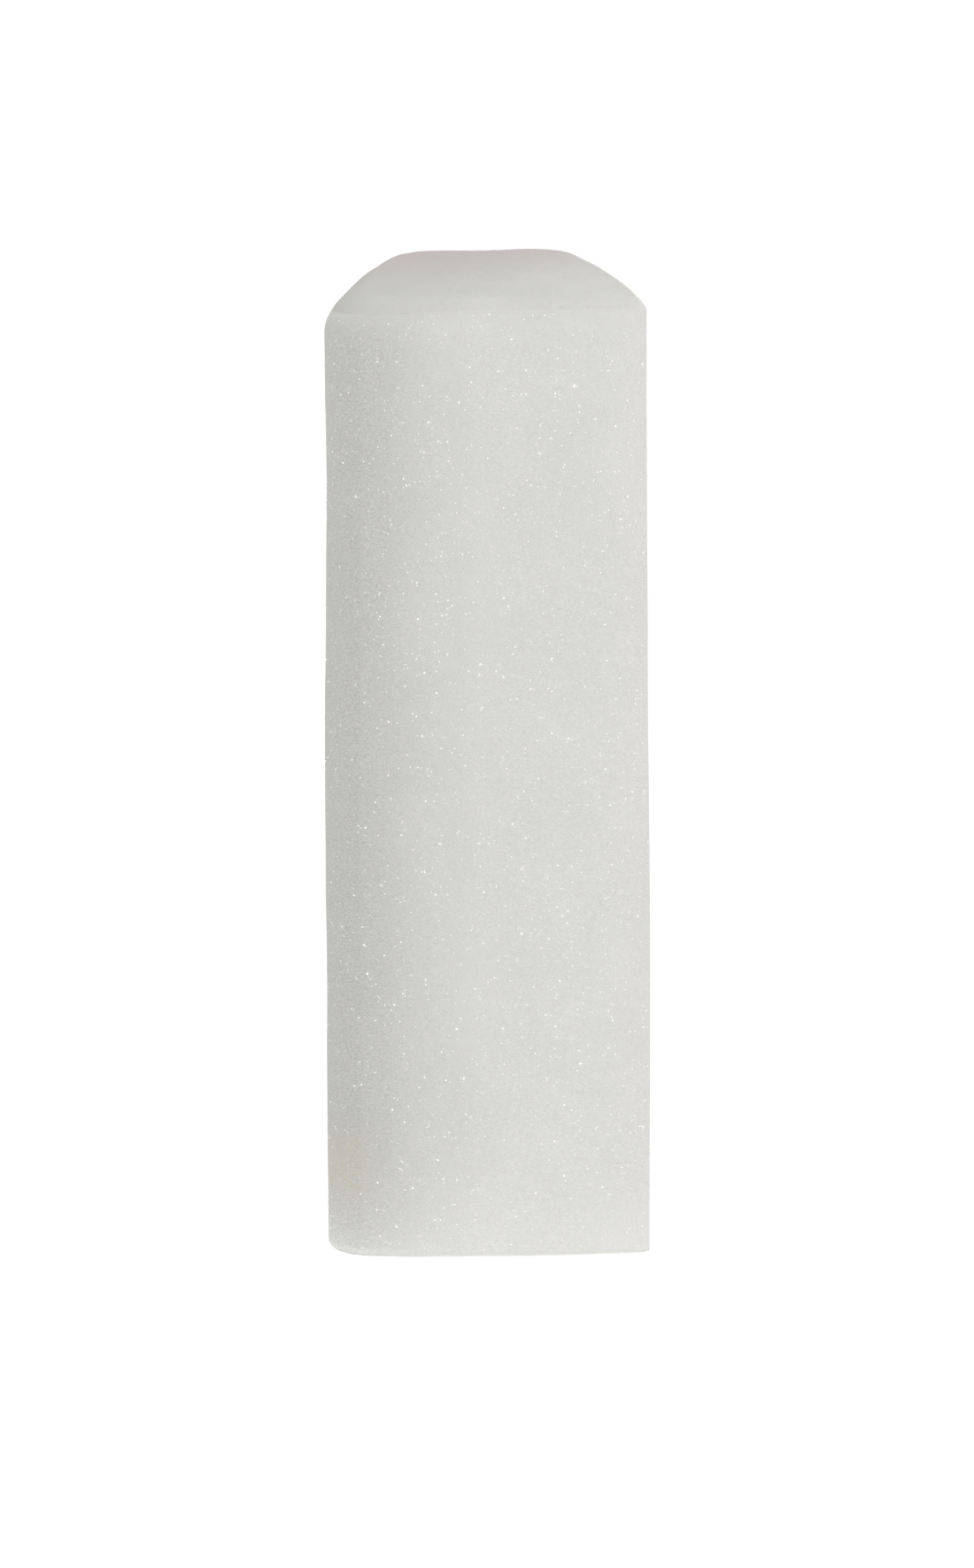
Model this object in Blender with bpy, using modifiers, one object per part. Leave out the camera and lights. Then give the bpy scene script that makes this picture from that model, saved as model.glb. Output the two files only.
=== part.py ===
"""Nail buffer block: a soft foam bar wrapped in one coated-abrasive sheet.

The bar stands on one bare foam end. +Z runs along its length, the wide front
face looks along -Y, and the narrower back looks along +Y. The origin is the
centre of the bottom end. Left is -X and right is +X, as seen from the front.

The section is a rounded keystone: a wide front that is flat on the right and
crowned towards its soft left edge, two bowed flanks that lean inwards, and a
narrower back between two large round edges. The sheet is folded round three
of the four long edges and its two ends meet at the fourth, the crisp front
right edge, which is the seam.

Seen from outside inwards the wrap is grit coat, bond coat, backing sheet and
adhesive film. Each is its own thin C-shaped shell, and the foam core is the
solid inside them. At both ends the bar's edges are rounded. The wrap curls
half-way over that rounding, and past its cut edge the foam springs out again
and is bare.
"""

import math

import bmesh
import bpy
import numpy as np

MM = 0.001

# ---- overall size -----------------------------------------------------------
LENGTH = 95.0 * MM          # end to end, foam to foam

# ---- outer section ----------------------------------------------------------
CROWN_RADIUS = 60.0 * MM    # crowned left part of the front face
CROWN_TURN = 11.1           # degrees the front turns away over that crown
FRONT_LEFT_RADIUS = 4.2 * MM
FLANK_LEAN = 9.3            # degrees each flank leans in at its front end
FLANK_RADIUS = 74.0 * MM
FLANK_TURN = 14.4           # further degrees it bows in by the back
BACK_EDGE_RADIUS = 5.9 * MM
BACK_EDGE_TURN = 90.0 - FLANK_LEAN - FLANK_TURN
BACK_FLAT = 8.9 * MM

# The section as a walk from the front right edge: leftwards over the front,
# up the left flank, across the back and down the right flank.
# Columns: kind, length or radius (None: worked out so that the walk closes),
# turn in degrees, always to the right.
START_HEADING = 180.0
WALK = [
    ("line", None, 0.0),
    ("arc", CROWN_RADIUS, CROWN_TURN),
    ("arc", FRONT_LEFT_RADIUS, 90.0 + FLANK_LEAN - CROWN_TURN),
    ("arc", FLANK_RADIUS, FLANK_TURN),
    ("arc", BACK_EDGE_RADIUS, BACK_EDGE_TURN),
    ("line", BACK_FLAT, 0.0),
    ("arc", BACK_EDGE_RADIUS, BACK_EDGE_TURN),
    ("arc", FLANK_RADIUS, FLANK_TURN),
    ("line", None, 0.0),
]

# ---- layers of the wrap -----------------------------------------------------
# Outside first. Columns: name, thickness, colour, roughness.
LAYERS = [
    ("grit_coat", 0.18 * MM, (0.70, 0.70, 0.665), 0.85),
    ("bond_coat", 0.06 * MM, (0.72, 0.66, 0.52), 0.45),
    ("backing_sheet", 0.24 * MM, (0.78, 0.77, 0.73), 0.80),
    ("adhesive_film", 0.10 * MM, (0.86, 0.84, 0.74), 0.35),
]
LAYER_GAP = 0.05 * MM       # inside each layer
FOAM_DEPTH = sum(thick + LAYER_GAP for _, thick, _, _ in LAYERS)
WRAP_DEPTH = FOAM_DEPTH - LAYER_GAP     # inner face of the adhesive film
SEAM_GAP = 0.18 * MM        # between the two ends of the sheet
SEAM_CLEARANCE = 1.0 * MM   # no other column this close behind the seam cut

# ---- ends -------------------------------------------------------------------
END_ROUND_LEFT = 2.6 * MM   # rounding of the end edges at the far left
END_ROUND_RIGHT = 1.3 * MM  # and at the far right, changing evenly between
WRAP_CURL = 45.0            # degrees the wrap follows that rounding
CUT_GAP = 0.08 * MM         # between the wrap's cut edge and the bare foam

# ---- facets -----------------------------------------------------------------
ARC_STEP = 9.0              # most degrees a facet turns on an arc
BOW_STEP = 4.0 * MM         # longest facet on the lines and the wide bows
CURL_STEPS = 3              # facets on the curled part of an end edge
LIP_STEPS = 3               # facets on the bare part of an end edge
SHARP_ANGLE = 35.0          # degrees above which an edge is shaded sharp


# ---- outer section ----------------------------------------------------------
def unit(deg):
    return np.array([math.cos(math.radians(deg)), math.sin(math.radians(deg))])


def to_right(deg):
    """Unit vector to the right of a heading, which is into the bar."""
    return unit(deg - 90.0)


def closing_lengths():
    """Lengths of the two open lines that bring the walk back to its start."""
    at = np.zeros(2)
    heading = START_HEADING
    open_lines = []
    for kind, size, turn in WALK:
        if kind == "arc":
            at = at + size * (to_right(heading) - to_right(heading - turn))
            heading -= turn
        elif size is None:
            open_lines.append(unit(heading))
        else:
            at = at + size * unit(heading)
    return np.linalg.solve(np.array(open_lines).T, -at)


def outer_section():
    """Points and outward normals of the outer section, centred on the origin.

    The first and the last point are the same crisp edge, once with the
    front's normal and once with the right flank's.
    """
    lengths = list(closing_lengths())
    at = np.zeros(2)
    heading = START_HEADING
    points, normals = [at], [-to_right(heading)]
    for kind, size, turn in WALK:
        if kind == "line":
            span = lengths.pop(0) if size is None else size
            steps = max(1, math.ceil(span / BOW_STEP))
            for i in range(1, steps + 1):
                points.append(at + span * i / steps * unit(heading))
                normals.append(-to_right(heading))
        else:
            steps = max(math.ceil(turn / ARC_STEP),
                        math.ceil(size * math.radians(turn) / BOW_STEP))
            centre = at + size * to_right(heading)
            for i in range(1, steps + 1):
                outward = -to_right(heading - turn * i / steps)
                points.append(centre + size * outward)
                normals.append(outward)
            heading -= turn
        at = points[-1]
    points = np.array(points)
    middle = (points.max(axis=0) + points.min(axis=0)) / 2.0
    return points - middle, np.array(normals)


POINTS, NORMALS = outer_section()
SEAM_EDGE = POINTS[0]
FAR_LEFT, FAR_RIGHT = POINTS[:, 0].min(), POINTS[:, 0].max()


def along_right_flank(point, y):
    """Move a point along the straight part of the right flank to a given y."""
    backwards = unit(90.0 + FLANK_LEAN)
    return point + backwards * (y - point[1]) / backwards[1]


# ---- rounded end edges ------------------------------------------------------
def end_round(x):
    """Radius of the end edges at a place across the bar."""
    share = (x - FAR_LEFT) / (FAR_RIGHT - FAR_LEFT)
    return END_ROUND_LEFT + (END_ROUND_RIGHT - END_ROUND_LEFT) * share


def on_end_edge(x, depth, angle):
    """Inset and height on the rounding: 0 degrees on the wall, 90 on the end.

    Depth is how far the surface lies inside the bar's outer surface.
    """
    outer = end_round(x)
    radius = outer - depth
    return (outer - radius * math.cos(math.radians(angle)),
            outer - radius * math.sin(math.radians(angle)))


# ---- mesh helpers -----------------------------------------------------------
def material(name, colour, roughness):
    mat = bpy.data.materials.new(name)
    mat.use_nodes = True
    shader = mat.node_tree.nodes["Principled BSDF"]
    shader.inputs["Base Color"].default_value = (*colour, 1.0)
    shader.inputs["Roughness"].default_value = roughness
    return mat


def add_object(name, bm, mat, collection):
    bmesh.ops.recalc_face_normals(bm, faces=bm.faces)
    # An open strip can still come out facing inwards.
    if bm.calc_volume(signed=True) < 0.0:
        bmesh.ops.reverse_faces(bm, faces=bm.faces)
    mesh = bpy.data.meshes.new(name)
    bm.to_mesh(mesh)
    bm.free()
    mesh.materials.append(mat)
    mesh.shade_smooth()
    mesh.set_sharp_from_angle(angle=math.radians(SHARP_ANGLE))
    obj = bpy.data.objects.new(name, mesh)
    collection.objects.link(obj)
    return obj


def mirrored_rows(bm, places):
    """A row of vertices near the bottom end and its mirror near the top."""
    low, high = [], []
    for x, y, z in places:
        low.append(bm.verts.new((x, y, z)))
        high.append(bm.verts.new((x, y, LENGTH - z)))
    return low, high


def loft(levels, closed):
    """Mesh through levels of places, from the bottom end in, and their mirrors.

    A closed loft runs each level round to its start and is capped at both
    ends.
    """
    bm = bmesh.new()
    low_rows, high_rows = zip(*[mirrored_rows(bm, places) for places in levels])
    if closed:
        bm.faces.new(low_rows[0])
        bm.faces.new(high_rows[0])
    rows = low_rows + high_rows[::-1]
    for lower, upper in zip(rows, rows[1:]):
        edges = []
        for row in (lower, upper):
            pairs = list(zip(row, row[1:]))
            if closed:
                pairs.append((row[-1], row[0]))
            for pair in pairs:
                edges.append(bm.edges.get(pair) or bm.edges.new(pair))
        bmesh.ops.bridge_loops(bm, edges=edges)
    return bm


# ---- wrap -------------------------------------------------------------------
def wrap_columns(z):
    """Where the sheet runs, from its front cut edge round to the seam.

    The front run reaches out to the flank's face. The flank run stops behind
    the front run, also where that curls in close to an end, so that the two
    ends of the sheet butt at the seam. Each column is a point of the outer
    section and the normal there.
    """
    outer = end_round(SEAM_EDGE[0])
    radius = outer - WRAP_DEPTH
    sine = min((outer - z) / radius, math.sin(math.radians(WRAP_CURL)))
    inset = outer - radius * math.sqrt(1.0 - sine * sine)
    stop_y = SEAM_EDGE[1] + inset + SEAM_GAP
    columns = list(zip(POINTS[:-1], NORMALS[:-1]))
    while columns[-1][0][1] < stop_y + SEAM_CLEARANCE:
        columns.pop()
    columns.append((along_right_flank(POINTS[-1], stop_y), NORMALS[-1]))
    return columns


def wrap_level(depth, angle):
    """Places across the sheet at one angle of the end rounding."""
    _, seam_z = on_end_edge(SEAM_EDGE[0], depth, angle)
    places = []
    for point, normal in wrap_columns(seam_z):
        inset, z = on_end_edge(point[0], depth, angle)
        x, y = point - inset * normal
        places.append((x, y, z))
    return places


def wrap_layer(name, depth, thick, mat, collection):
    """An open strip on the layer's middle surface, given its thickness."""
    levels = [wrap_level(depth + thick / 2.0, WRAP_CURL * (1.0 - i / CURL_STEPS))
              for i in range(CURL_STEPS + 1)]
    obj = add_object(name, loft(levels, closed=False), mat, collection)
    solidify = obj.modifiers.new("thickness", "SOLIDIFY")
    solidify.thickness = thick
    solidify.offset = 0.0
    solidify.use_even_offset = True
    solidify.use_rim = True


def wrap(collection):
    """All layers of the sheet, from the outside inwards."""
    depth = 0.0
    for name, thick, colour, roughness in LAYERS:
        mat = material(name, colour, roughness)
        wrap_layer(name, depth, thick, mat, collection)
        depth += thick + LAYER_GAP


# ---- foam -------------------------------------------------------------------
def foam_level(depth, angles):
    """Closed section of the foam, with an angle of the end rounding per point."""
    edge = [on_end_edge(point[0], depth, angle)
            for point, angle in zip(POINTS[:-1], angles)]
    insets = np.array([inset for inset, _ in edge])
    ring = POINTS[:-1] - insets[:, None] * NORMALS[:-1]
    # The crisp edge is where the inset front meets the inset right flank.
    flank = POINTS[-1] - insets[0] * NORMALS[-1]
    ring[0] = along_right_flank(flank, ring[0][1])
    return [(x, y, z) for (x, y), (_, z) in zip(ring, edge)]


def foam_core(collection):
    """Loft of the foam's sections: held in by the wrap, sprung out past it."""
    # Angle at each point where the bare foam begins, just past the wrap.
    bare_from = np.array([WRAP_CURL + math.degrees(CUT_GAP / end_round(x))
                          for x in POINTS[:-1, 0]])
    lip = [foam_level(0.0, 90.0 + (bare_from - 90.0) * i / LIP_STEPS)
           for i in range(LIP_STEPS + 1)]
    held = [foam_level(FOAM_DEPTH, bare_from * (1.0 - i / CURL_STEPS))
            for i in range(CURL_STEPS + 1)]
    mat = material("foam", colour=(0.80, 0.795, 0.765), roughness=0.92)
    add_object("foam_core", loft(lip + held, closed=True), mat, collection)


def clear_scene():
    for obj in list(bpy.data.objects):
        bpy.data.objects.remove(obj, do_unlink=True)


def main():
    clear_scene()
    collection = bpy.data.collections.new("nail_buffer_block")
    bpy.context.scene.collection.children.link(collection)
    foam_core(collection)
    wrap(collection)


main()
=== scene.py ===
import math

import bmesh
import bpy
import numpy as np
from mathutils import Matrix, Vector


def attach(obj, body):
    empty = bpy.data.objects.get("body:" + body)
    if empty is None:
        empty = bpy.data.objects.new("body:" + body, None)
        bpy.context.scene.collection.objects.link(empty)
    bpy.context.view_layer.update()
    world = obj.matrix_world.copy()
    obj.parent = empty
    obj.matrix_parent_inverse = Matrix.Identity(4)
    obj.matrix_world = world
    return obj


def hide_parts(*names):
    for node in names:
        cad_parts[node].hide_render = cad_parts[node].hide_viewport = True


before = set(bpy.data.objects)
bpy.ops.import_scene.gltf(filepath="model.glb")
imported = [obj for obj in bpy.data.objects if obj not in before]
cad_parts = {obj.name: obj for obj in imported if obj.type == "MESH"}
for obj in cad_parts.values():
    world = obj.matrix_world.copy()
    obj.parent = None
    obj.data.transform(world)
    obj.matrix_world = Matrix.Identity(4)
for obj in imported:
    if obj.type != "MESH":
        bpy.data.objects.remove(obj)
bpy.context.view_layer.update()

# A sanding block: a foam bar with an abrasive sheet glued round it, standing
# on end. Z runs up its length, the front faces -Y and the right side +X. The
# section narrows to the back, and its front right edge is crisp.
# Shapes are worked out in millimetres; stage, lights and camera are in metres.

MM = 0.001

# =============================================================================
# The block's shape, as in the CAD: lines and arcs walked round the section
# =============================================================================
LENGTH = 95.0
CROWN_RADIUS, CROWN_TURN = 60.0, 11.1
FRONT_LEFT_RADIUS = 4.2
FLANK_LEAN, FLANK_RADIUS, FLANK_TURN = 9.3, 74.0, 14.4
BACK_EDGE_RADIUS, BACK_FLAT = 5.9, 8.9
BACK_EDGE_TURN = 90.0 - FLANK_LEAN - FLANK_TURN

# kind, length or radius (mm; None is solved to close the loop), right turn (deg).
# It starts at the crisp edge and heads left along the front.
WALK = [
    ("line", None, 0.0),
    ("arc", CROWN_RADIUS, CROWN_TURN),
    ("arc", FRONT_LEFT_RADIUS, 90.0 + FLANK_LEAN - CROWN_TURN),
    ("arc", FLANK_RADIUS, FLANK_TURN),
    ("arc", BACK_EDGE_RADIUS, BACK_EDGE_TURN),
    ("line", BACK_FLAT, 0.0),
    ("arc", BACK_EDGE_RADIUS, BACK_EDGE_TURN),
    ("arc", FLANK_RADIUS, FLANK_TURN),
    ("line", None, 0.0),
]
START_HEADING = 180.0

# thickness of the sheet's layers, outside first
GRIT, BOND, BACKING, FILM = 0.20, 0.06, 0.24, 0.10
SKIN_GAP = 0.006            # keeps neighbouring layers apart
STACK = GRIT + BOND + BACKING + FILM + 4 * SKIN_GAP
SEAM_GAP = 0.16
CURL = 38.0                 # degrees the sheet follows the end rounding
LIP_TURN = CURL - 3.0       # degrees of it that lie over the foam's lip
ROUND_TOP = (4.0, 0.42)     # end rounding at the far left and the far right
ROUND_LOW = (1.12, 0.9)
BACK_TIGHTEN = 0.22         # share of the end rounding lost towards the back
LEAST_RADIUS = 0.05         # inner layers keep at least this end rounding
DOME = 0.75                 # how far the bare top end swells in the middle
DOME_POWER = 2.5            # higher keeps the swell nearer the middle
MITRE = 8.0                 # how far from the crisp edge inset points shift


def unit(heading):
    return np.array([math.cos(math.radians(heading)), math.sin(math.radians(heading))])


def to_right(heading):
    return unit(heading - 90.0)


def rise(value, start, span):
    """0 up to a start, growing evenly to 1 over a span."""
    return np.clip((value - start) / span, 0.0, 1.0)


def hill(value, centre, width):
    """1 at a centre, falling to 0 like a bell."""
    return np.exp(-((value - centre) / width) ** 2)


def closing_lengths():
    at, heading, free = np.zeros(2), START_HEADING, []
    for kind, size, turn in WALK:
        if kind == "arc":
            at = at + size * (to_right(heading) - to_right(heading - turn))
            heading -= turn
        elif size is None:
            free.append(unit(heading))
        else:
            at = at + size * unit(heading)
    return np.linalg.solve(np.array(free).T, -at)


def walk_section(step, arc_step=None):
    """Points and outward normals round the outer section."""
    lengths = list(closing_lengths())
    at, heading = np.zeros(2), START_HEADING
    points, normals = [at], [-to_right(heading)]
    for kind, size, turn in WALK:
        if kind == "line":
            span = lengths.pop(0) if size is None else size
            steps = max(1, math.ceil(span / step))
            for i in range(1, steps + 1):
                points.append(at + span * i / steps * unit(heading))
                normals.append(-to_right(heading))
        else:
            steps = math.ceil(size * math.radians(turn) / step)
            if arc_step:
                steps = max(steps, math.ceil(turn / arc_step))
            centre = at + size * to_right(heading)
            for i in range(1, steps + 1):
                out = -to_right(heading - turn * i / steps)
                points.append(centre + size * out)
                normals.append(out)
            heading -= turn
        at = points[-1]
    return np.array(points), np.array(normals)


# the CAD's own facets set its centre
facets, _ = walk_section(step=4.0, arc_step=9.0)
MIDDLE = (facets.max(axis=0) + facets.min(axis=0)) / 2.0
X_LOW, Y_FRONT = facets.min(axis=0) - MIDDLE
X_HIGH, Y_BACK = facets.max(axis=0) - MIDDLE


def section(step):
    points, normals = walk_section(step)
    return points - MIDDLE, normals


def share(x):
    """0 at the far left of the section, 1 at the far right."""
    return rise(x, X_LOW, X_HIGH - X_LOW)


def round_at(points, ends):
    """End rounding for points of the section; it tightens towards the back."""
    ease = 1.0 - BACK_TIGHTEN * rise(points[:, 1], start=-1.0, span=13.0)
    return (ends[0] + (ends[1] - ends[0]) * share(points[:, 0])) * ease


RIM, _ = section(0.5)
CHUNK = 4000                # points handled at once, to save memory
LEAST_TOTAL = 0.02          # below this a point counts as outside the rim


def inward(x, y):
    """A smooth measure of how far points lie in from the rim of the section:
    nothing on the rim, largest in the middle, with no ridge anywhere."""
    out = np.zeros(len(x))
    for a in range(0, len(x), CHUNK):
        b = a + CHUNK
        to = RIM[None, :, :] - np.stack([x[a:b], y[a:b]], axis=1)[:, None, :]
        far = np.linalg.norm(to, axis=2) + 1e-4
        to_next, far_next = np.roll(to, -1, axis=1), np.roll(far, -1, axis=1)
        cross = to_next[..., 0] * to[..., 1] - to_next[..., 1] * to[..., 0]
        along = (to_next * to).sum(axis=2)
        # tangent of half the angle that each piece of the rim spans
        half_tan = cross / np.maximum(far * far_next + along, 1e-9)
        total = (half_tan * (1.0 / far + 1.0 / far_next)).sum(axis=1)
        out[a:b] = np.where(total > LEAST_TOTAL, 2.0 / np.maximum(total, LEAST_TOTAL), 0.0)
    return out


INWARD_MIDDLE = inward(np.array([0.0]), np.array([0.0]))[0]


def swell(x, y):
    """How far the soft top end stands up above a flat cut."""
    return DOME * np.clip(inward(x, y) / INWARD_MIDDLE, 0.0, 1.2) ** DOME_POWER


# =============================================================================
# Noise that depends only on position, so every run gives the same surface
# =============================================================================
# odd multipliers that scatter the bits of a cell's place
HASH_X, HASH_Y, HASH_Z, HASH_MIX = map(
    np.uint32, (374761393, 668265263, 2147483647, 1274126177))


def cell_hash(cell, seed):
    x, y, z = cell.astype(np.uint32).T
    h = x * HASH_X + y * HASH_Y + z * HASH_Z + np.uint32(seed * int(HASH_MIX) % 2 ** 32)
    h = (h ^ (h >> np.uint32(13))) * HASH_MIX
    h = h ^ (h >> np.uint32(16))
    return h.astype(np.float64) / 4294967295.0


def noise(points, size, seed):
    """Smooth value noise, -1 to 1, with cells of a size in mm."""
    scaled = points / size + 1000.0        # the offset keeps cells positive
    cell = np.floor(scaled).astype(np.int64)
    f = scaled - cell
    f = f * f * f * (f * (f * 6.0 - 15.0) + 10.0)
    out = np.zeros(len(points))
    for corner in np.ndindex(2, 2, 2):
        weight = np.where(corner, f, 1 - f).prod(axis=1)
        out += weight * cell_hash(cell + np.array(corner), seed)
    return out * 2.0 - 1.0


# =============================================================================
# Soft-goods shape: how the cut foam departs from a true prism
# =============================================================================
# height, and how far each long side stands to the right of straight (mm)
LEFT_EDGE = ((2, 0.22), (11, 0.12), (20, 0.11), (29, 0.13), (37, -0.02),
             (46, -0.08), (55, -0.05), (64, 0.08), (77, 0.12), (90, -0.08), (96, -0.11))
RIGHT_EDGE = ((2, 0.06), (11, 0.11), (20, 0.13), (33, 0.13), (46, -0.02),
              (55, -0.12), (64, -0.19), (77, -0.29), (90, -0.31), (96, -0.31))
TOP_START = 84.0            # above this the top end's own shape comes in


def along_bar(z, table):
    """A table's value at a height, averaged over 4 mm each way."""
    at, value = np.array(table).T
    return sum(np.interp(z + d, at, value) for d in (-4, -2, 0, 2, 4)) / 5.0


def warp(verts):
    """The bar's slight lean, bow and hand-cut waviness, for every layer."""
    x, y, z = verts.T
    right = share(x)
    dx = along_bar(z, LEFT_EDGE) * (1 - right) + along_bar(z, RIGHT_EDGE) * right
    # slow swells of the soft face
    dx = dx + 0.035 * noise(verts, size=11.0, seed=1)
    dy = 0.05 * noise(verts, size=13.0, seed=2)
    # the back is a little hollow near its middle and full on its right
    back = rise(y, start=4.0, span=Y_BACK - 4.0) ** 2
    dy = dy + back * (0.16 * hill(x, centre=5.4, width=2.4)
                      - 0.42 * hill(x, centre=0.6, width=3.6))
    # the front is flattest just left of its middle
    front = rise(-y, start=3.0, span=7.0) ** 2
    dy = dy + front * 0.13 * hill(x, centre=-3.0, width=np.where(x < -3.0, 4.5, 9.0))
    # the low end was cut a little askew: it lifts towards the right
    lift = (0.02 + 0.09 * hill(x, centre=-2.5, width=5.0)
            + 0.52 * rise(x, start=-3.0, span=18.0) ** 1.3)
    low = 1.0 - rise(z, start=0.0, span=14.0)

    # the top end's shape goes by where the points now stand
    x, y = x + dx, y + dy
    high = z > TOP_START
    top = rise(z, start=TOP_START, span=LENGTH - TOP_START) ** 2
    up = np.zeros(len(verts))
    up[high] = swell(x[high], y[high]) * top[high]
    # the front right corner droops
    droop = 0.30 * np.exp(-np.hypot(x - X_HIGH, y - Y_FRONT) / 0.9)
    # the front edge of the end bows up between its corners, and the edge
    # over the slanting right side stands a little full
    bow = (0.36 * hill(x, centre=-4.0, width=8.0) * rise(-y, start=6.0, span=7.6) ** 2
           + 0.15 * hill(x, centre=9.0, width=2.2) * rise(y, start=-4.0, span=8.0))
    z = z + lift * low + up + bow * top - np.where(high, droop, 0.0)
    return np.column_stack([x, y, z])


def make_object(name, verts_mm, faces, smooth=True):
    mesh = bpy.data.meshes.new(name)
    verts = np.asarray(verts_mm, dtype=np.float64) * MM
    mesh.from_pydata(verts.tolist(), [], faces)
    mesh.validate()
    mesh.update()
    if smooth:
        mesh.shade_smooth()
        mesh.set_sharp_from_angle(angle=math.radians(32.0))
    obj = bpy.data.objects.new(name, mesh)
    bpy.context.scene.collection.objects.link(obj)
    return obj


# =============================================================================
# A layer of the sheet
# =============================================================================
CURL_ROWS_SPAN = 2.4                  # nominal heights that set the row counts
STRAIGHT_ROWS_SPAN = LENGTH - 5.0


def grid_faces(rows, columns, offset=0, flip=False):
    """Quads of a rows x columns grid of vertices, row by row."""
    r, c = np.meshgrid(np.arange(rows - 1), np.arange(columns - 1), indexing="ij")
    a = (r * columns + c).ravel() + offset
    quads = np.stack([a, a + 1, a + 1 + columns, a + columns], axis=1)
    if flip:
        quads = quads[:, ::-1]
    return quads.tolist()


def sheet_columns(step):
    """The columns the sheet has, with the seam's set-back end at the last."""
    points, normals = section(step)
    stop = points[0][1] + STACK + SEAM_GAP
    keep = len(points)
    while points[keep - 1][1] < stop:
        keep -= 1
    up_flank = unit(90.0 + FLANK_LEAN)
    end = points[-1] + up_flank * (stop - points[-1][1]) / up_flank[1]
    if np.linalg.norm(points[keep - 1] - end) < 0.05:
        keep -= 1
    return np.vstack([points[:keep], end]), np.vstack([normals[:keep], normals[-1]])


def pad_columns(points, normals, every):
    """Split the last span so that the coarser inner grid divides the columns."""
    extra = (-(len(points) - 1)) % every
    if not extra:
        return points, normals
    a, b = points[-2], points[-1]
    more = [a + (b - a) * (k + 1) / (extra + 1) for k in range(extra)]
    return (np.vstack([points[:-1], more, points[-1:]]),
            np.vstack([normals[:-1], np.repeat(normals[-1:], extra, axis=0), normals[-1:]]))


def cut_place(points, normals):
    """The column where the front run has turned fully on to the left side."""
    return int(np.argmax((normals[:, 0] < -0.98) & (points[:, 0] < 0)))


def sheet_surface(points, normals, depth, rows, curl_rows):
    """Points and normals of a layer's face at a depth, row by row."""
    low_r, top_r = round_at(points, ROUND_LOW), round_at(points, ROUND_TOP)
    places, outward = [], []

    def put(inset, z, turn, up):
        places.append(np.column_stack([points - inset[:, None] * normals, z]))
        outward.append(np.column_stack([normals * math.cos(turn),
                                        np.full(len(points), math.sin(turn) * up)]))

    def put_curl(radius, z, turn, up):
        small = np.maximum(radius - depth, LEAST_RADIUS)
        put(depth + small * (1 - math.cos(turn)), z + up * small * math.sin(turn), turn, up)

    for i in range(curl_rows):
        put_curl(low_r, low_r, math.radians(CURL * (1.0 - i / curl_rows)), -1.0)
    for i in range(rows + 1):
        z = low_r + (LENGTH - top_r - low_r) * (i / rows)
        put(np.full(len(points), depth), z, 0.0, 1.0)
    for i in range(1, curl_rows + 1):
        put_curl(top_r, LENGTH - top_r, math.radians(CURL * i / curl_rows), 1.0)
    return np.vstack(places), np.vstack(outward), rows + 1 + 2 * curl_rows


def rim_faces(fine, rough, every, flip):
    """Triangles that join an edge of the fine grid to one of the rough grid."""
    faces, half = [], every // 2
    for k in range(len(rough) - 1):
        a, b = int(rough[k]), int(rough[k + 1])
        f = fine[k * every:(k + 1) * every + 1].tolist()
        tris = [(f[j], f[j + 1], a if j < half else b) for j in range(every)]
        tris.append((a, f[half], b))
        faces += [tri[::-1] if flip else tri for tri in tris]
    return faces


def closed_sheet(name, depth, thick, step, row_step, inner_every, relief=None, run=None):
    """A closed shell: a fine outer face, a coarser inner face and its rims.
    run 'front' or 'sides' makes only that part of the way round."""
    points, normals = sheet_columns(step)
    cut = cut_place(points, normals)
    part = {"front": slice(cut + 1), "sides": slice(cut, None), None: slice(None)}[run]
    points, normals = pad_columns(points[part], normals[part], inner_every)
    every = inner_every
    curl_rows = every * max(1, round(CURL_ROWS_SPAN / row_step / every))
    rows = every * max(1, round(STRAIGHT_ROWS_SPAN / row_step / every))
    outer, outward, row_count = sheet_surface(points, normals, depth, rows, curl_rows)
    if relief:
        outer = outer + outward * relief(outer, outward)[:, None]
    inner, _, _ = sheet_surface(points, normals, depth + thick, rows, curl_rows)

    columns, base = len(points), len(outer)
    grid = np.arange(row_count * columns).reshape(row_count, columns)
    coarse = grid[::every, ::every]
    inner = inner[coarse.ravel()]
    inner_grid = np.arange(coarse.size).reshape(coarse.shape) + base
    faces = grid_faces(row_count, columns)
    faces += grid_faces(*coarse.shape, offset=base, flip=True)
    faces += rim_faces(grid[0], inner_grid[0], every, flip=True)
    faces += rim_faces(grid[-1], inner_grid[-1], every, flip=False)
    faces += rim_faces(grid[:, 0], inner_grid[:, 0], every, flip=False)
    faces += rim_faces(grid[:, -1], inner_grid[:, -1], every, flip=True)
    # wound so that every face looks out of the shell
    return make_object(name, warp(np.vstack([outer, inner])),
                       [f[:1] + f[:0:-1] for f in faces])


def grit_relief(points, normals):
    """Height of the grain layer above its mean, in mm."""
    z = points[:, 2]
    fine = 0.005 * noise(points, size=0.42, seed=21) + 0.004 * noise(points, size=0.9, seed=22)
    ends = rise(np.minimum(z, LENGTH - z), start=0.0, span=7.0)
    slow = 0.020 * noise(points, size=5.0, seed=23) * ends
    # stretched fourfold across the bar
    streak = 0.003 * noise(points * np.array([0.25, 0.25, 1.0]), size=0.55, seed=24)
    rim = np.clip(np.abs(normals[:, 2]) / math.sin(math.radians(CURL)), 0.0, 1.0) ** 2
    return (fine + slow + streak - 0.016 * ends) * (1.0 - rim) + 0.002 * rim


# =============================================================================
# The foam
# =============================================================================
FOAM_STEP = 0.30
CAP_CENTRE = np.array([0.2, -0.8])
CAP_RINGS, ROUNDING_RINGS, LIP_STEPS, STRAIGHT_STEPS = 44, 12, 3, 12
LIP_UNDERCUT = 0.014        # the last rounding ring sits this much lower
BARE_REACH = 3.2            # the end skin's texture goes this far down the bar


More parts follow.
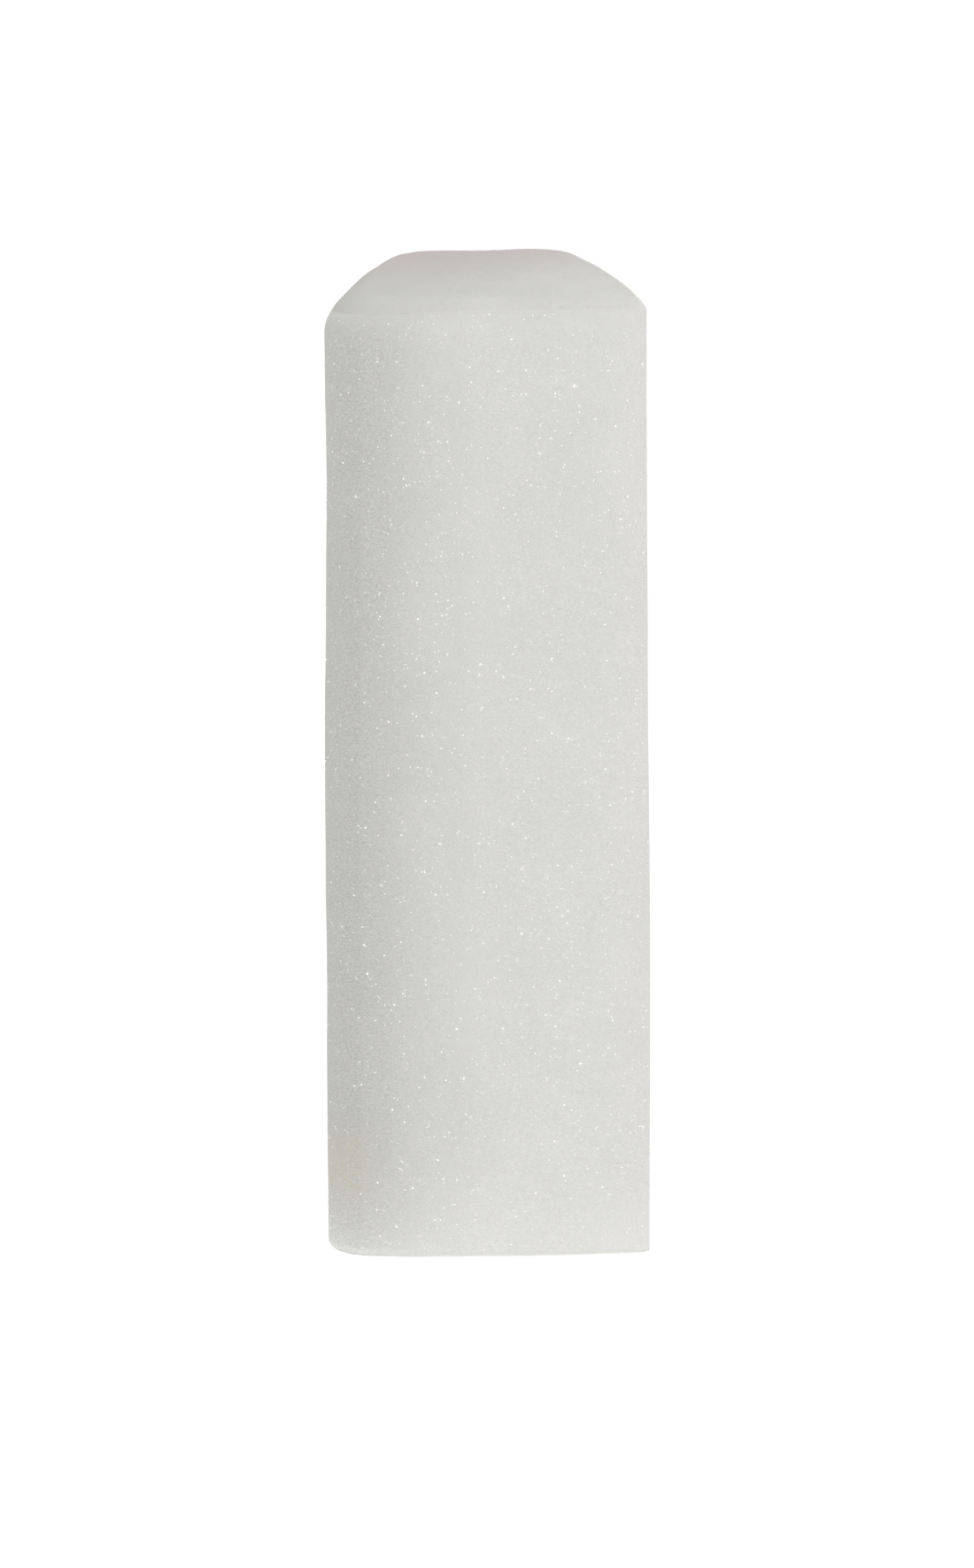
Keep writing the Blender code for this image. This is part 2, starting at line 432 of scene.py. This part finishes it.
def foam_rows():
    """Rings of points from the middle of the low end to that of the top end."""
    points, normals = section(FOAM_STEP)
    points, normals = points[:-1], normals[:-1]
    count = len(points)
    half = count // 2
    lip = math.radians(LIP_TURN)
    fade = np.clip(1.0 - np.linalg.norm(points - points[0], axis=1) / MITRE, 0.0, 1.0)
    reach = 1.0 / math.tan(math.radians((90.0 - FLANK_LEAN) / 2.0))
    shift = np.zeros((count, 2))
    shift[:half] = fade[:half, None] * reach * np.array([-1.0, 0.0])
    shift[half:] = fade[half:, None] * reach * unit(90.0 + FLANK_LEAN)

    def ring(depth):
        """Section at a depth for each point; near the crisp edge the points
        slide along the faces so that the two faces still meet in one corner."""
        return points - depth[:, None] * normals + depth[:, None] * shift

    def end(ends, top):
        radius = round_at(points, ends)
        base = ring(radius)
        made = []                     # ring, and how far it lies in from the end
        for i in range(1, CAP_RINGS + 1):
            made.append((CAP_CENTRE + (base - CAP_CENTRE) * (i / CAP_RINGS), np.zeros(count)))
        for i in range(1, ROUNDING_RINGS + 1):
            a = math.pi / 2 + (lip - math.pi / 2) * i / ROUNDING_RINGS
            bend = radius - (LIP_UNDERCUT if i == ROUNDING_RINGS else 0.0)
            made.append((ring(radius - bend * math.cos(a)), radius - bend * math.sin(a)))
        # the step down under the sheet
        small = np.maximum(radius - STACK, LEAST_RADIUS)
        for i in range(LIP_STEPS + 1):
            a = lip * (1.0 - i / LIP_STEPS)
            made.append((ring(STACK + small * (1 - math.cos(a))), radius - small * math.sin(a)))
        return [np.column_stack([xy, LENGTH - z if top else z]) for xy, z in made]

    low, top = end(ROUND_LOW, False), end(ROUND_TOP, True)
    a, b = low[-1], top[-1]
    straight = [a + (b - a) * i / STRAIGHT_STEPS for i in range(1, STRAIGHT_STEPS)]
    return low + straight + top[::-1]


def foam_body():
    rows = foam_rows()
    verts = np.vstack(rows + [[[*CAP_CENTRE, 0.0]], [[*CAP_CENTRE, LENGTH]]])
    low_mid, top_mid = len(verts) - 2, len(verts) - 1
    # skin of fine closed cells on the bare ends
    cap_top = verts[:, 2] > LENGTH - BARE_REACH
    cap_low = verts[:, 2] < BARE_REACH
    skin = (0.020 * noise(verts, size=0.55, seed=11) + 0.016 * noise(verts, size=0.28, seed=12)
            + 0.05 * noise(verts, size=3.5, seed=13))
    verts[:, 2] += np.where(cap_top, skin, 0.0) + np.where(cap_low, np.abs(skin), 0.0)

    count = len(rows[0])
    index = np.arange(len(rows) * count).reshape(len(rows), count)
    beside = np.roll(index, -1, axis=1)
    faces = np.stack([beside[:-1], beside[1:], index[1:], index[:-1]],
                     axis=2).reshape(-1, 4).tolist()
    for i in range(count):
        faces.append((low_mid, int(index[0][i]), int(beside[0][i])))
        faces.append((top_mid, int(beside[-1][i]), int(index[-1][i])))
    obj = make_object("foam_bar", warp(verts), faces)
    bm = bmesh.new()
    bm.from_mesh(obj.data)
    bmesh.ops.recalc_face_normals(bm, faces=bm.faces)
    bm.to_mesh(obj.data)
    bm.free()
    return obj


# =============================================================================
# The proud grains
# =============================================================================
GRAIN_COUNT, GRAIN_SEED = 11000, 7
SEAM_MARGIN, END_MARGIN = 0.15, 1.0    # grains keep this far from the sheet's edges
GRAIN_LEAST, GRAIN_SPREAD, GRAIN_POWER = 0.034, 0.037, 0.55
BIG_EXTRA, BIG_SHARE = 0.008, 0.10     # one in ten is larger by this
GRAIN_LIFT = 0.25                      # share of its size a grain is lifted
OCTAHEDRON = np.array([[1, 0, 0], [-1, 0, 0], [0, 1, 0], [0, -1, 0],
                       [0, 0, 1], [0, 0, -1]], dtype=float)
GRAIN_FACES = [(0, 2, 4), (2, 1, 4), (1, 3, 4), (3, 0, 4),
               (2, 0, 5), (1, 2, 5), (3, 1, 5), (0, 3, 5)]
MIRRORED_FACES = [(a, c, b) for a, b, c in GRAIN_FACES]


def grain_seat(xy, out, z, low_r, top_r):
    """A grain's place and normal, or None where the sheet has ended."""
    for radius, up, from_end in ((low_r, -1.0, z), (top_r, 1.0, LENGTH - z)):
        if from_end < radius:
            turn = math.asin(min((radius - from_end) / radius, 1.0))
            if math.degrees(turn) > LIP_TURN:
                return None
            return (np.array([*(xy - radius * (1 - math.cos(turn)) * out), z]),
                    np.array([*(out * math.cos(turn)), up * math.sin(turn)]))
    return np.array([*xy, z]), np.array([*out, 0.0])


def grains():
    """Single grains that stand proud of the dressing, each a small crystal."""
    rng = np.random.default_rng(GRAIN_SEED)
    points, normals = sheet_columns(0.1)
    spans = np.linalg.norm(np.diff(points, axis=0), axis=1)
    along = np.concatenate([[0.0], np.cumsum(spans)])
    split = along[cut_place(points, normals)]
    way_round = rng.uniform(SEAM_MARGIN, along[-1] - SEAM_MARGIN, GRAIN_COUNT)
    z = rng.uniform(END_MARGIN, LENGTH - END_MARGIN, GRAIN_COUNT)
    i = np.clip(np.searchsorted(along, way_round) - 1, 0, len(spans) - 1)
    part = ((way_round - along[i]) / spans[i])[:, None]
    xy = points[i] * (1 - part) + points[i + 1] * part
    out = normals[i] * (1 - part) + normals[i + 1] * part
    out /= np.linalg.norm(out, axis=1)[:, None]
    low_r, top_r = round_at(xy, ROUND_LOW), round_at(xy, ROUND_TOP)

    verts, faces = ([], []), ([], [])      # front, sides
    for k in range(GRAIN_COUNT):
        seat = grain_seat(xy[k], out[k], z[k], low_r[k], top_r[k])
        if seat is None:
            continue
        place, normal = seat
        size = (GRAIN_LEAST + GRAIN_SPREAD * rng.power(GRAIN_POWER) ** 2
                + (BIG_EXTRA if rng.random() < BIG_SHARE else 0.0))
        u, _, w = np.linalg.svd(rng.normal(size=(3, 3)))
        turn = u @ w
        stretch = rng.uniform(0.75, 1.25, 3) * size
        shape = OCTAHEDRON * rng.uniform(0.7, 1.0, (6, 1))
        side = 0 if way_round[k] < split else 1
        base = len(OCTAHEDRON) * len(verts[side])
        verts[side].append((shape * stretch) @ turn.T + place + normal * size * GRAIN_LIFT)
        tris = MIRRORED_FACES if np.linalg.det(turn) < 0 else GRAIN_FACES
        faces[side].extend(tuple(base + v for v in tri) for tri in tris)
    return [make_object(name, warp(np.vstack(verts[i])), faces[i], smooth=False)
            for i, name in enumerate(("proud_grains_front", "proud_grains_sides"))]


# =============================================================================
# Materials
# =============================================================================
def set_range(node, *values):
    """From low, from high, to low, to high of a Map Range node."""
    for i, value in enumerate(values):
        node.inputs[i + 1].default_value = value


class Look:
    """A material, with a few calls that keep the node set-ups below readable."""

    def __init__(self, name):
        self.mat = bpy.data.materials.new(name)
        self.mat.use_nodes = True
        self.tree = self.mat.node_tree
        self.tree.nodes.clear()
        output = self.add("ShaderNodeOutputMaterial")
        self.shader = self.add("ShaderNodeBsdfPrincipled")
        self.link(self.shader.outputs[0], output.inputs[0])
        self.coord = self.add("ShaderNodeTexCoord")

    def add(self, kind, **values):
        node = self.tree.nodes.new(kind)
        for key, value in values.items():
            setattr(node, key, value)
        return node

    def link(self, a, b):
        self.tree.links.new(a, b)

    def feed(self, socket, value):
        """Give a socket a number, a colour or a link."""
        if isinstance(value, (int, float)):
            socket.default_value = value
        elif isinstance(value, tuple):
            socket.default_value = (*value, 1.0)
        else:
            self.link(value, socket)

    def mm(self, scale=(1.0, 1.0, 1.0), offset=(0.0, 0.0, 0.0)):
        """Object coordinates in millimetres, squeezed by a scale if asked."""
        node = self.add("ShaderNodeMapping")
        node.inputs["Scale"].default_value = [1000.0 * s for s in scale]
        node.inputs["Location"].default_value = offset
        self.link(self.coord.outputs["Object"], node.inputs["Vector"])
        return node.outputs[0]

    def noise(self, vector, size, detail=2.0, rough=0.5):
        node = self.add("ShaderNodeTexNoise")
        node.inputs["Scale"].default_value = 1.0 / size
        node.inputs["Detail"].default_value = detail
        node.inputs["Roughness"].default_value = rough
        self.link(vector, node.inputs["Vector"])
        return node.outputs["Fac"]

    def cells(self, vector, size):
        node = self.add("ShaderNodeTexVoronoi")
        node.inputs["Scale"].default_value = 1.0 / size
        self.link(vector, node.inputs["Vector"])
        return node.outputs

    def ramp(self, value, low, high, stops=(0.30, 0.70)):
        node = self.add("ShaderNodeValToRGB")
        for element, at, colour in zip(node.color_ramp.elements, stops, (low, high)):
            element.position = at
            element.color = (*colour, 1.0)
        self.link(value, node.inputs[0])
        return node.outputs[0]

    def map(self, value, to, span=(0.3, 0.7)):
        """Carry a span of values over to another, clamped."""
        node = self.add("ShaderNodeMapRange")
        set_range(node, *span, *to)
        self.link(value, node.inputs[0])
        return node.outputs[0]

    def fade(self, mask, off, on):
        """One value where a mask is 0, another where it is 1."""
        return self.map(mask, to=(off, on), span=(0.0, 1.0))

    def math(self, operation, a, b=None):
        node = self.add("ShaderNodeMath", operation=operation)
        self.feed(node.inputs[0], a)
        if b is not None:
            self.feed(node.inputs[1], b)
        return node.outputs[0]

    def plus(self, a, b):
        return self.math("ADD", a, b)

    def times(self, a, b):
        return self.math("MULTIPLY", a, b)

    def mix(self, factor, a, b, blend="MIX"):
        node = self.add("ShaderNodeMix", data_type="RGBA", blend_type=blend)
        # the colour version's sockets are Factor 0, A 6, B 7 and Result 2
        for slot, value in ((0, factor), (6, a), (7, b)):
            self.feed(node.inputs[slot], value)
        return node.outputs[2]

    def tint(self, colour, by):
        return self.mix(1.0, colour, by, "MULTIPLY")

    def grey(self, value):
        node = self.add("ShaderNodeCombineColor")
        for i in range(3):
            self.link(value, node.inputs[i])
        return node.outputs[0]

    def shade(self, colour, mask, on, off=1.0):
        """Brighten or darken a colour where a mask is on."""
        return self.tint(colour, self.grey(self.fade(mask, off, on)))

    def zone(self, axis, centre, width):
        """1 at a place along an axis in mm, falling smoothly to 0 at a width."""
        xyz = self.add("ShaderNodeSeparateXYZ")
        self.link(self.mm(), xyz.inputs[0])
        away = self.math("ABSOLUTE", self.math("SUBTRACT", xyz.outputs[axis], centre))
        node = self.add("ShaderNodeMapRange", interpolation_type="SMOOTHERSTEP")
        set_range(node, 0.0, width, 1.0, 0.0)
        self.link(away, node.inputs[0])
        return node.outputs[0]

    def bump(self, height, distance_mm, strength):
        node = self.add("ShaderNodeBump")
        node.inputs["Strength"].default_value = strength
        node.inputs["Distance"].default_value = distance_mm * MM
        self.link(height, node.inputs["Height"])
        return node.outputs[0]

    def finish(self, colour, rough, spec, normal=None):
        self.feed(self.shader.inputs["Base Color"], colour)
        self.feed(self.shader.inputs["Roughness"], rough)
        self.feed(self.shader.inputs["Specular IOR Level"], spec)
        if normal is not None:
            self.link(normal, self.shader.inputs["Normal"])
        return self.mat


def grit_material(name, shaded_cut_edge=False):
    look = Look(name)
    at = look.mm()
    grain = look.noise(at, size=0.17, rough=0.6)
    clump = look.noise(at, size=0.55)
    mottle = look.noise(at, size=6.0, detail=3.0)
    streak = look.noise(look.mm(scale=(0.35, 0.35, 3.2)), size=0.9, detail=3.0, rough=0.6)
    base = look.ramp(mottle, low=(0.783, 0.780, 0.747), high=(0.803, 0.798, 0.765))
    # the speckle is stronger at the left and weaker at the top
    contrast = look.fade(look.zone("X", centre=-15.6, width=12.0), off=1.0, on=2.5)
    flat_grain = look.noise(look.mm(scale=(0.45, 0.45, 1.30), offset=(3.0, 1.0, 2.0)),
                            size=0.105, rough=0.6)
    contrast = look.times(contrast, look.fade(look.zone("Z", centre=94.5, width=5.0),
                                              off=1.0, on=0.30))
    speckle = look.times(look.map(flat_grain, to=(-0.090, 0.090), span=(0.25, 0.75)), contrast)
    tone = look.plus(look.plus(speckle, 1.0),
                     look.plus(look.map(clump, to=(-0.007, 0.007)),
                               look.map(streak, to=(-0.012, 0.012))))
    colour = look.tint(base, look.grey(tone))
    hue = look.ramp(look.noise(look.mm(offset=(7.0, 5.0, 9.0)), size=0.32, rough=0.7),
                    low=(0.984, 1.000, 0.992), high=(1.000, 0.986, 0.988))
    colour = look.tint(colour, hue)
    # painted highlight: the sheet is paler near the top where it curls over the rounded end at
    # the left
    painted_top_left_highlight = look.times(look.zone("Z", centre=95.0, width=5.2),
                      look.zone("X", centre=-16.5, width=21.0))
    colour = look.shade(colour, painted_top_left_highlight, on=1.11)
    # and a little paler low on the right
    low_pale_and_glint_fade = look.times(look.zone("Z", centre=27.0, width=20.0),
                      look.zone("X", centre=5.0, width=12.0))
    colour = look.shade(colour, low_pale_and_glint_fade, on=1.024)
    # the crisp edge is a touch cooler
    colour = look.mix(look.zone("X", centre=15.7, width=6.5), colour,
                      look.tint(colour, (1.004, 0.998, 1.012)))
    # cells, each a grain: a few are near white, partly the grains' own colour and partly
    # painted glints, and fewer still are dark specks of dust
    cells = look.cells(at, size=0.30)
    pick = look.add("ShaderNodeSeparateColor")
    look.link(cells["Color"], pick.inputs[0])
    near = look.map(cells["Distance"], to=(1.0, 0.0), span=(0.10, 0.24))
    white_grain_and_painted_glint = look.times(near, look.map(pick.outputs[0], to=(0.0, 0.75), span=(0.955, 0.985)))
    colour = look.mix(white_grain_and_painted_glint, colour, (0.97, 0.97, 0.96))
    dark = look.times(near, look.math("GREATER_THAN", pick.outputs[1], 0.9985))
    colour = look.mix(look.times(dark, 0.5), colour, (0.30, 0.29, 0.27))
    # painted warm bounce light low on the left
    painted_warm_bounce = look.times(look.times(look.zone("X", centre=-14.2, width=6.0),
                                 look.zone("Z", centre=9.0, width=7.5)),
                      look.map(clump, to=(0.2, 1.0), span=(0.35, 0.65)))
    colour = look.mix(look.times(painted_warm_bounce, 0.80), colour, (0.80, 0.762, 0.655))
    # shares of grain, cells and streaks in the relief
    height = look.plus(look.times(grain, 0.65),
                       look.plus(look.times(cells["Distance"], -0.35),
                                 look.times(streak, 0.25)))
    if shaded_cut_edge:
        # the sheet's cut edge at the seam is painted dark: partly its bare resin, partly
        # painted shade where the full key strikes it
        face = look.add("ShaderNodeNewGeometry")
        way = look.add("ShaderNodeSeparateXYZ")
        look.link(face.outputs["True Normal"], way.inputs[0])
        faces_right = look.math("GREATER_THAN", way.outputs["X"], 0.80)
        colour = look.mix(faces_right, colour, (0.47, 0.455, 0.41))
    return look.finish(colour, rough=look.map(grain, to=(0.92, 0.72)), spec=0.25,
                       normal=look.bump(height, distance_mm=0.040, strength=0.28))


def foam_material():
    look = Look("foam")
    at = look.mm()
    cells = look.cells(at, size=0.16)
    fine = look.noise(at, size=0.25, detail=3.0, rough=0.6)
    slow = look.noise(at, size=4.0)
    base = look.ramp(slow, low=(0.785, 0.780, 0.742), high=(0.805, 0.800, 0.762))
    tone = look.plus(look.map(fine, to=(0.978, 1.022)),
                     look.map(cells["Distance"], to=(0.008, -0.012), span=(0.1, 0.7)))
    colour = look.tint(base, look.grey(tone))
    # painted pink bounce light towards the back, strongest a little left of the middle
    painted_pink_bounce = look.plus(look.times(look.zone("Y", centre=13.6, width=8.0), 0.75),
                      look.times(look.zone("Y", centre=12.5, width=22.0), 0.78))
    across = look.fade(look.zone("X", centre=-5.0, width=22.0), off=0.25, on=1.0)
    painted_pink_bounce = look.times(look.times(painted_pink_bounce, across),
                       look.map(look.noise(at, size=2.2), to=(0.75, 1.15)))
    colour = look.mix(painted_pink_bounce, colour, (0.790, 0.718, 0.702))
    # painted shade makes the middle of the end a little darker, and a band of painted light
    # lies along its front
    painted_middle_shade = look.times(look.zone("Y", centre=2.5, width=12.0),
                      look.zone("X", centre=-1.0, width=13.0))
    colour = look.shade(colour, painted_middle_shade, on=0.960, off=1.006)
    painted_front_light = look.times(look.zone("Y", centre=-14.2, width=7.0),
                      look.fade(look.zone("X", centre=-5.0, width=14.0), off=0.35, on=1.0))
    colour = look.shade(colour, painted_front_light, on=1.066)
    height = look.plus(fine, look.times(cells["Distance"], 0.8))
    return look.finish(colour, rough=0.93, spec=0.2,
                       normal=look.bump(height, distance_mm=0.03, strength=0.35))


def layer_material(name, size, low, high, rough, spec, bump, scale=(1.0, 1.0, 1.0),
                   detail=3.0, noise_rough=0.6):
    """One noise drives colour, relief and, where rough is a pair, roughness.
    bump is its depth in mm and its strength."""
    look = Look(name)
    pattern = look.noise(look.mm(scale), size, detail, noise_rough)
    colour = look.ramp(pattern, low, high)
    if isinstance(rough, tuple):
        rough = look.map(pattern, to=rough)
    return look.finish(colour, rough, spec, look.bump(pattern, *bump))


def paper_material():
    return layer_material("backing", size=0.12, scale=(1.0, 1.0, 0.25), detail=4.0,
                          noise_rough=0.65, low=(0.74, 0.73, 0.69), high=(0.80, 0.79, 0.75),
                          rough=0.85, spec=0.25, bump=(0.03, 0.6))


def resin_material():
    return layer_material("bond_resin", size=0.3, noise_rough=0.55,
                          low=(0.70, 0.66, 0.56), high=(0.76, 0.73, 0.63),
                          rough=(0.35, 0.55), spec=0.5, bump=(0.02, 0.5))


def glue_material():
    return layer_material("contact_adhesive", size=0.4, scale=(1.0, 1.0, 0.5),
                          low=(0.80, 0.78, 0.70), high=(0.85, 0.84, 0.77),
                          rough=(0.30, 0.50), spec=0.5, bump=(0.03, 0.6))


def crystal_material():
    look = Look("grain_crystal")
    tint = look.noise(look.mm(), size=0.9, detail=1.0)
    colour = look.ramp(tint, low=(0.90, 0.90, 0.89), high=(0.99, 0.99, 0.98),
                       stops=(0.35, 0.65))
    look.finish(colour, rough=look.map(tint, to=(0.12, 0.35)), spec=0.9)
    # painted glints: the clearer grains glow by emission, weaker at the foot and at the
    # two sides
    clear = look.noise(look.mm(), size=0.45, detail=1.0)
    foot = look.times(look.zone("Z", centre=0.0, width=16.0), 0.28)
    low_pale_and_glint_fade = look.math("SUBTRACT", 1.0, foot)
    side = look.fade(look.zone("X", centre=-7.5, width=9.0), off=0.80, on=1.20)
    glow = look.times(look.map(clear, to=(0.0, 1.6), span=(0.46, 0.72)),
                      look.times(low_pale_and_glint_fade, side))
    look.feed(look.shader.inputs["Emission Color"], (1.0, 1.0, 1.0))
    look.link(glow, look.shader.inputs["Emission Strength"])
    return look.mat


# =============================================================================
# Build
# =============================================================================
DEPTH_BOND = GRIT + SKIN_GAP
DEPTH_BACKING = DEPTH_BOND + BOND + SKIN_GAP
DEPTH_FILM = DEPTH_BACKING + BACKING + SKIN_GAP
GRIT_MESH = {"step": 0.26, "inner_every": 4, "relief": grit_relief}
LAYER_MESH = {"step": 0.9, "row_step": 1.2, "inner_every": 2}

foam = foam_body()
grit = closed_sheet("grit_front", 0.0, GRIT, row_step=0.26, run="front", **GRIT_MESH)
grit_sides = closed_sheet("grit_sides", 0.0, GRIT, row_step=0.28, run="sides", **GRIT_MESH)
bond = closed_sheet("bond_layer", DEPTH_BOND, BOND, **LAYER_MESH)
backing = closed_sheet("backing_paper", DEPTH_BACKING, BACKING, **LAYER_MESH)
film = closed_sheet("adhesive_layer", DEPTH_FILM, FILM, **LAYER_MESH)
crystals, crystals_sides = grains()

grit_look = grit_material("abrasive_grit")
grit_front_look = grit_material("abrasive_grit_front", shaded_cut_edge=True)
crystal_look = crystal_material()
for obj, mat, slot, node in (
    (foam, foam_material(), "foam", "foam_core"),
    (grit, grit_front_look, "abrasive_grit", "grit_coat"),
    (grit_sides, grit_look, "abrasive_grit", "grit_coat"),
    (bond, resin_material(), "bond_resin", "bond_coat"),
    (backing, paper_material(), "backing", "backing_sheet"),
    (film, glue_material(), "contact_adhesive", "adhesive_film"),
):
    obj.data.materials.append(mat)
    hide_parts(node)
    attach(obj, "root")
for obj in (crystals, crystals_sides):
    obj.data.materials.append(crystal_look)
    obj.visible_shadow = False            # clear grains let the light through
    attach(obj, "root")

# =============================================================================
# Stage: to the camera all of it is white, whatever light it gives the block
# =============================================================================
SEEN_STRENGTH = 1.05
FLOOR_GLOW = 0.715
AMBIENT = 0.62
WHITE, SOFT_WHITE = (1.0, 1.0, 1.0, 1.0), (1.0, 1.0, 0.995, 1.0)
FLOOR_HALF = 5.0
FLOOR_DROP = 0.0001
RING_HEIGHT = 0.002                  # mm
RING_LEFT, RING_RIGHT = -0.016, 0.0  # x between which a ring's glow changes
# rings round the block's foot: name, inner and outer distance from the
# section (mm), glow at the left and at the right
RINGS = (
    ("lit_table_under", -1.6, 0.0, 0.66, 1.06),
    ("lit_table_near", 0.0, 3.2, 1.20, 0.94),
    ("lit_table_wide", 3.2, 9.0, 1.02, 0.95),
    ("lit_table_far", 9.0, 26.0, 0.62, 0.74),
)


def white_to_camera(tree, output_kind, glow_kind, tint, strength):
    """White to the camera and a glow to all other rays; returns the glow node."""
    tree.nodes.clear()
    output = tree.nodes.new(output_kind)
    mix = tree.nodes.new("ShaderNodeMixShader")
    path = tree.nodes.new("ShaderNodeLightPath")
    seen = tree.nodes.new(glow_kind)
    glow = tree.nodes.new(glow_kind)
    for node, colour, power in ((seen, WHITE, SEEN_STRENGTH), (glow, tint, strength)):
        node.inputs["Color"].default_value = colour
        node.inputs["Strength"].default_value = power
    tree.links.new(path.outputs["Is Camera Ray"], mix.inputs[0])
    tree.links.new(glow.outputs[0], mix.inputs[1])
    tree.links.new(seen.outputs[0], mix.inputs[2])
    tree.links.new(mix.outputs[0], output.inputs[0])
    return glow


def glowing_material(obj, name, tint, strength):
    mat = bpy.data.materials.new(name)
    mat.use_nodes = True
    glow = white_to_camera(mat.node_tree, "ShaderNodeOutputMaterial", "ShaderNodeEmission",
                           tint, strength)
    obj.data.materials.append(mat)
    return mat.node_tree, glow


def floor():
    mesh = bpy.data.meshes.new("floor")
    s = FLOOR_HALF
    mesh.from_pydata([(-s, -s, 0), (s, -s, 0), (s, s, 0), (-s, s, 0)], [], [(0, 1, 2, 3)])
    obj = bpy.data.objects.new("floor", mesh)
    obj.location.z = -FLOOR_DROP
    bpy.context.scene.collection.objects.link(obj)
    glowing_material(obj, "pale_floor", SOFT_WHITE, FLOOR_GLOW)


def foot_glow(name, inner, outer, left, right):
    """A ring of the table round the block's foot with a glow of its own."""
    points, normals = section(1.0)
    points, normals = points[:-1], normals[:-1]
    count = len(points)
    verts = np.vstack([np.column_stack([points + normals * d, np.full(count, RING_HEIGHT)])
                       for d in (inner, outer)])
    faces = [(i, i + count, (i + 1) % count + count, (i + 1) % count) for i in range(count)]
    obj = make_object(name, verts, faces, smooth=False)
    tree, glow = glowing_material(obj, name, WHITE, 1.0)
    coord = tree.nodes.new("ShaderNodeTexCoord")
    xyz = tree.nodes.new("ShaderNodeSeparateXYZ")
    fall = tree.nodes.new("ShaderNodeMapRange")
    set_range(fall, RING_LEFT, RING_RIGHT, left, right)
    tree.links.new(coord.outputs["Object"], xyz.inputs[0])
    tree.links.new(xyz.outputs["X"], fall.inputs[0])
    tree.links.new(fall.outputs[0], glow.inputs["Strength"])


floor()
for ring_values in RINGS:
    foot_glow(*ring_values)

scene = bpy.context.scene
world = bpy.data.worlds.new("studio")
scene.world = world
world.use_nodes = True
white_to_camera(world.node_tree, "ShaderNodeOutputWorld", "ShaderNodeBackground",
                SOFT_WHITE, AMBIENT)


# =============================================================================
# Lights and camera
# =============================================================================
def place(obj, target, azimuth, elevation, distance):
    """Aim at a target; azimuth 0 is in front (-Y), 90 is on the right (+X)."""
    a, e = math.radians(azimuth), math.radians(elevation)
    way = Vector((math.sin(a) * math.cos(e), -math.cos(a) * math.cos(e), math.sin(e)))
    obj.location = Vector(target) + way * distance
    obj.rotation_mode = "QUATERNION"
    obj.rotation_quaternion = way.to_track_quat("Z", "Y")


def area_light(name, azimuth, elevation, distance, size, power, on, target=(0, 0, 0.047)):
    """A soft box that lights only the objects it is on."""
    data = bpy.data.lights.new(name, "AREA")
    data.shape = "RECTANGLE"
    data.size, data.size_y = size
    data.energy = power
    obj = bpy.data.objects.new(name, data)
    place(obj, target, azimuth, elevation, distance)
    obj.visible_camera = False
    scene.collection.objects.link(obj)
    group = bpy.data.collections.new(obj.name + "_on")
    for lit in on:
        group.objects.link(lit)
    obj.light_linking.receiver_collection = group


KEY = 1.80
KEY_BOX = {"azimuth": 76.4, "elevation": 5.0, "distance": 0.42, "size": (0.06, 0.09)}

# The key rakes across the front from the right. The side it comes from takes
# a softer copy of it, so that the side isn't burnt out.
area_light("key_right", power=KEY, on=(grit, crystals, crystals_sides), **KEY_BOX)
area_light("key_right_soft", power=KEY * 0.36, on=(foam, grit_sides, bond, backing, film),
           **KEY_BOX)
# a small lamp close over the top end, forward and to the right of it, a wider
# one further off, and one for the sheet's rounded rim
area_light("fill_top", azimuth=70.3, elevation=61.2, distance=0.0308, size=(0.010, 0.010),
           power=0.00110, on=(foam,), target=(0.005, -0.009, 0.095))
area_light("fill_even", azimuth=52.0, elevation=47.0, distance=0.30, size=(0.10, 0.10),
           power=0.079, on=(foam,), target=(0.0, 0.0, 0.095))
area_light("fill_rim", azimuth=6.0, elevation=88.0, distance=0.035, size=(0.012, 0.012),
           power=0.0021, on=(grit, grit_sides, crystals, crystals_sides, bond, backing, film),
           target=(0.001, -0.0136, 0.095))
# a little light on the back, out of the camera's sight
area_light("fill_back", azimuth=188.0, elevation=0.0, distance=0.42, size=(0.12, 0.04),
           power=KEY * 0.22, on=(grit_sides, crystals_sides))

CAMERA_DISTANCE = 2.4
FRAME_SPAN = 0.15267        # what the frame's longer side covers at the target
SENSOR = 36.0
cam_data = bpy.data.cameras.new("camera")
cam = bpy.data.objects.new("camera", cam_data)
scene.collection.objects.link(cam)
scene.camera = cam
place(cam, target=(0.00021, 0.0, 0.0444), azimuth=-1.2, elevation=13.0,
      distance=CAMERA_DISTANCE)
cam_data.sensor_width = SENSOR
cam_data.lens = SENSOR * CAMERA_DISTANCE / FRAME_SPAN
cam_data.clip_start, cam_data.clip_end = 0.1, 20.0

scene.view_settings.view_transform = "Standard"
scene.view_settings.look = "None"
